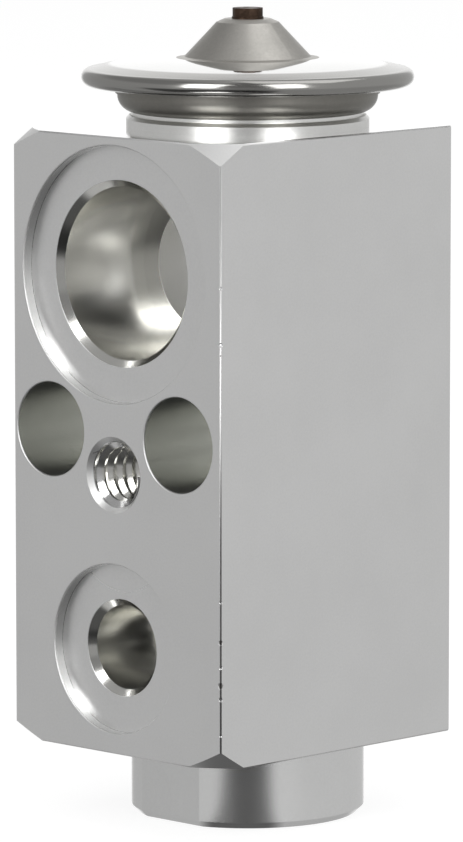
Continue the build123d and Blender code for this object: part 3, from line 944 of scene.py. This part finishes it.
@dataclass
class Studio:
    """Floor, light and camera.

    Attributes:
        yaw: The camera's bearing, in degrees; 0 looks along +Y and 90 along -X.
        pitch: Degrees that the camera looks down.
        distance: From the camera to its target, in millimetres.
        target: What the camera looks at, in millimetres.
        lens: Focal length in millimetres.
        film: Height of the film in millimetres.
        roll: Degrees.
        floor_size: Metres.
        boxes: The lamps.
        left_level: Brightness of the room to the camera's left, in reflections.
        right_level: The same to its right.
        wall_level: The same beside the dark zone round the camera.
        ceiling_level: The same high up.
        shade_level: The same high up on the left.
        back_level: The same of the backdrop.
        core_level: The same round the camera.
        front_level: The same above the camera.
        floor_level: The same below the horizon.
        below_level: The same below the horizon in front of the object.
        near_level: How much of the room shows in the floor close in front of the object.
        floor_glow: Brightness of the floor as the camera sees it.
        glow_share: Share of that brightness; the rest is lit and keeps the shadow.
        soft_light: Brightness of the room as it lights the object.
        core_turn: Degrees from the camera's bearing between which the core fades in.
        wall_turn: The same for the far end of the lit walls.
        front_turn: The same for the dark zone above the camera.
        back_turn: The same for the backdrop.
        room: The node group that gives the room's brightness, made by build.
    """

    yaw: float = 44.58
    pitch: float = 7.49
    distance: float = 628.74
    target: Vector = field(default_factory=lambda: Vector((-0.961, -0.172, 38.66)))
    lens: float = 273.39
    film: float = 36.0
    roll: float = -0.02
    floor_size: float = 6.0
    boxes: tuple[Softbox, ...] = (
        Softbox("key_left", -34.0, 29.0, 1.6, 0.70, 1.5, 12.0),
        Softbox("key_right", 30.0, 29.0, 1.6, 0.66, 1.5, 9.0),
        Softbox("overhead", 100.0, 70.0, 1.6, 1.2, 1.2, 4.0),
    )

    left_level: float = 0.47
    right_level: float = 0.58
    wall_level: float = 0.60
    ceiling_level: float = 0.55
    shade_level: float = 0.33
    back_level: float = 1.10
    core_level: float = 0.30
    front_level: float = 0.20
    floor_level: float = 0.45
    below_level: float = 0.08
    near_level: float = 0.25
    floor_glow: float = 1.18
    glow_share: float = 0.72
    soft_light: float = 0.45
    core_turn: tuple[float, float] = (19.0, 12.0)
    wall_turn: tuple[float, float] = (62.0, 46.0)
    front_turn: tuple[float, float] = (32.0, 14.0)
    back_turn: tuple[float, float] = (160.0, 170.0)
    room: bpy.types.NodeTree | None = field(default=None, init=False)

    def build(self) -> None:
        """Makes the floor, the world, the lamps and the camera."""
        self.room = self._room()
        self._floor()
        self._world()
        for box in self.boxes:
            self._lamp(box)
        self._camera()
        view = bpy.context.scene.view_settings
        view.view_transform = "Standard"

    def _toward(self, bearing: float, height: float) -> Vector:
        """Returns the direction from the object at a bearing from the camera's side."""
        turn, lift = math.radians(self.yaw + bearing), math.radians(height)
        flat = math.cos(lift)
        return Vector((math.sin(turn) * flat, -math.cos(turn) * flat, math.sin(lift)))

    def _camera(self) -> None:
        """Makes the camera at its fitted place."""
        data = bpy.data.cameras.new("camera")
        camera = bpy.data.objects.new("camera", data)
        bpy.context.scene.collection.objects.link(camera)
        back = self._toward(0.0, self.pitch)
        camera.location = (self.target + back * self.distance) * MM
        turn = (-back).to_track_quat("-Z", "Y").to_euler()
        turn.rotate_axis("Z", math.radians(self.roll))
        camera.rotation_euler = turn
        data.sensor_fit = "VERTICAL"
        data.sensor_height = self.film
        data.sensor_width = self.film
        data.lens = self.lens
        data.clip_start, data.clip_end = 0.01, 50.0
        bpy.context.scene.camera = camera

    def _lamp(self, box: Softbox) -> None:
        """Makes one soft lamp that looks at the object."""
        data = bpy.data.lights.new(box.name, "AREA")
        data.shape = "RECTANGLE"
        data.size, data.size_y = box.width, box.tall
        data.energy = box.watts
        lamp = bpy.data.objects.new(box.name, data)
        bpy.context.scene.collection.objects.link(lamp)
        away = self._toward(box.bearing, box.height)
        lamp.location = self.target * MM + away * box.distance
        lamp.rotation_euler = (-away).to_track_quat("-Z", "Y").to_euler()
        lamp.visible_camera = False

    def _room(self) -> bpy.types.NodeTree:
        """Returns a node group that gives the brightness of the room in a direction.

        Round the camera and below it is dark, beside that stand lit walls, then greyer sides,
        and a white backdrop behind the object.
        """
        tree = bpy.data.node_groups.new("room", "ShaderNodeTree")
        tree.interface.new_socket(name="Direction", in_out="INPUT", socket_type="NodeSocketVector")
        tree.interface.new_socket(name="Light", in_out="OUTPUT", socket_type="NodeSocketFloat")
        graph = Graph(tree)
        given = graph.add("NodeGroupInput").outputs
        parts = []
        for axis in (self._toward(0.0, 0.0), self._toward(90.0, 0.0), Vector((0.0, 0.0, 1.0))):
            parts.append(graph.add("VectorMath", {0: given["Direction"], 1: tuple(axis)},
                                   operation="DOT_PRODUCT").outputs[1])
        ahead, right, up = parts
        bearing = graph.math("ARCTAN2", graph.math("ABSOLUTE", right), ahead)
        core, beside, front, back = (
            graph.ramp(bearing, *map(math.radians, pair))
            for pair in (self.core_turn, self.wall_turn, self.front_turn, self.back_turn))
        outside = graph.ramp(bearing, *map(math.radians, reversed(self.core_turn)))
        wall = graph.math("MULTIPLY", outside, beside)
        light = graph.mix(graph.ramp(right, -0.4, 0.4), self.left_level, self.right_level)
        light = graph.mix(wall, light, self.wall_level)
        light = graph.mix(core, light, self.core_level)
        light = graph.mix(graph.ramp(up, 0.5, 0.8), light, self.ceiling_level)
        shade = graph.math("MULTIPLY", graph.ramp(right, -0.15, -0.45), graph.ramp(up, 0.35, 0.6))
        light = graph.mix(shade, light, self.shade_level)
        front = graph.math("MULTIPLY", front, graph.ramp(up, 0.2, 0.35))
        light = graph.mix(front, light, self.front_level)
        dark = graph.math("MULTIPLY", graph.ramp(ahead, 0.05, 0.25), graph.ramp(right, 0.25, 0.0))
        below = graph.mix(dark, self.floor_level, self.below_level)
        light = graph.mix(graph.ramp(up, -0.17, -0.42), light, below)
        back = graph.math("MULTIPLY", back, graph.math("MULTIPLY", graph.ramp(up, 0.60, 0.48),
                                                       graph.ramp(up, -0.5, -0.3)))
        light = graph.mix(back, light, self.back_level)
        graph.add("NodeGroupOutput", {"Light": light})
        return tree

    def _floor(self) -> None:
        """Makes the pale floor that keeps a soft shadow."""
        Bench.clear()
        bpy.ops.mesh.primitive_plane_add(size=self.floor_size, location=(0, 0, -0.05 * MM))
        floor = bpy.context.object
        floor.name = "floor"
        material, graph = new_material("floor_white")
        path = graph.add("LightPath").outputs
        paper = graph.add("BsdfDiffuse", {"Color": (0.85, 0.85, 0.85)}).outputs[0]
        glow = graph.add("Emission", {"Color": (1.0, 1.0, 1.0), "Strength": self.floor_glow})
        share = graph.math("MULTIPLY", path["Is Camera Ray"], self.glow_share)
        shown = graph.add("MixShader", {0: share, 1: paper, 2: glow.outputs[0]}).outputs[0]
        clear = graph.add("BsdfTransparent", {"Color": self._near_shade(graph)}).outputs[0]
        mixed = graph.add("MixShader", {0: path["Is Glossy Ray"], 1: shown, 2: clear})
        under = graph.add("NewGeometry").outputs["Backfacing"]
        mixed = graph.add("MixShader", {0: under, 1: mixed.outputs[0],
                                        2: graph.add("BsdfTransparent").outputs[0]})
        graph.add("OutputMaterial", {"Surface": mixed.outputs[0]})
        floor.data.materials.append(material)

    def _near_shade(self, graph: Graph) -> Socket:
        """Returns how much the floor lets reflections through: little close in front."""
        place = graph.add("TexCoord").outputs["Object"]
        away = graph.add("VectorMath", {0: place}, operation="LENGTH").outputs[1]
        ahead = graph.add("VectorMath", {0: place, 1: tuple(self._toward(0.0, 0.0))},
                          operation="DOT_PRODUCT").outputs[1]
        front = graph.ramp(graph.math("DIVIDE", ahead, away), 0.90, 0.97)
        near = graph.math("MULTIPLY", graph.ramp(away, 0.26, 0.14), front)
        clear = graph.mix(near, 1.0, self.near_level)
        return graph.grey(clear)

    def _world(self) -> None:
        """Makes the pale studio: white to look at, softer as light, patterned in reflections."""
        world = bpy.data.worlds.new("studio")
        bpy.context.scene.world = world
        world.use_nodes = True
        graph = Graph(world.node_tree)
        path = graph.add("LightPath").outputs
        way = graph.add("TexCoord").outputs["Generated"]
        room = graph.group(self.room, Direction=way).outputs["Light"]
        seen = graph.math("ADD", path["Is Camera Ray"], path["Is Transmission Ray"], clamp=True)
        strength = graph.mix(path["Is Glossy Ray"], self.soft_light, room)
        strength = graph.mix(seen, strength, 1.0)
        light = graph.add("Background", {"Color": (1.0, 1.0, 1.0), "Strength": strength})
        graph.add("OutputWorld", {"Surface": light.outputs[0]})


@dataclass
class Valve:
    """The dressed valve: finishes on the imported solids, and the pieces modelled here.

    Attributes:
        layout: Where the parts of the block are.
        thread_crest: Radius of the clamp thread's crests, in millimetres.
        thread_pitch: Its pitch.
        thread_length: Its length.
        thread_start: Depth of its first turn under the port face.
    """

    layout: Layout = field(default_factory=Layout.read)
    thread_crest: float = 2.62
    thread_pitch: float = 1.27
    thread_length: float = 10.2
    thread_start: float = 0.75

    def build(self) -> None:
        """Dresses every solid and models the new pieces."""
        effects = Effects()
        block = BlockFinish().build(effects, self.layout)
        finishes = {name: finish.build(effects, self.layout) for name, finish in FINISHES.items()}
        finishes["block_aluminium"] = block
        self._dress(finishes)
        skin = BlockSkin().build(block)
        LOG.info("shaded the edges of %s, %d faces", skin.name, len(skin.data.polygons))
        clamp = self.layout.clamp
        start = Vector((clamp.x, self.layout.front + self.thread_start, clamp.z))
        thread = CutThread("clamp_thread", root=clamp.radius, crest=self.thread_crest,
                           pitch=self.thread_pitch, length=self.thread_length, base=start,
                           axis=Axis.Y, body="housing", slot="block_aluminium")
        piece = thread.build(finishes["block_aluminium"])
        LOG.info("modelled %s, %d faces", piece.name, len(piece.data.polygons))

    @staticmethod
    def _dress(finishes: dict[str, bpy.types.Material]) -> None:
        """Puts each solid's finish in its material slots, by the slot's name."""
        for name, node in sorted(frame["nodes"].items()):
            for index, material in enumerate(node.data.materials):
                node.data.materials[index] = finishes[material.name.split(".")[0]]
            LOG.info("dressed %s", name)


def corners(box: tuple[Vector, Vector]) -> list[list[float]]:
    """Returns a box's two corners as plain lists."""
    return [list(corner) for corner in box]


def main() -> None:
    """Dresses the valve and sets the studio."""
    logging.basicConfig(level=logging.INFO, format="%(name)s: %(message)s")
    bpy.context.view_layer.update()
    Valve().build()
    Studio().build()


if __name__ == "__main__":
    main()
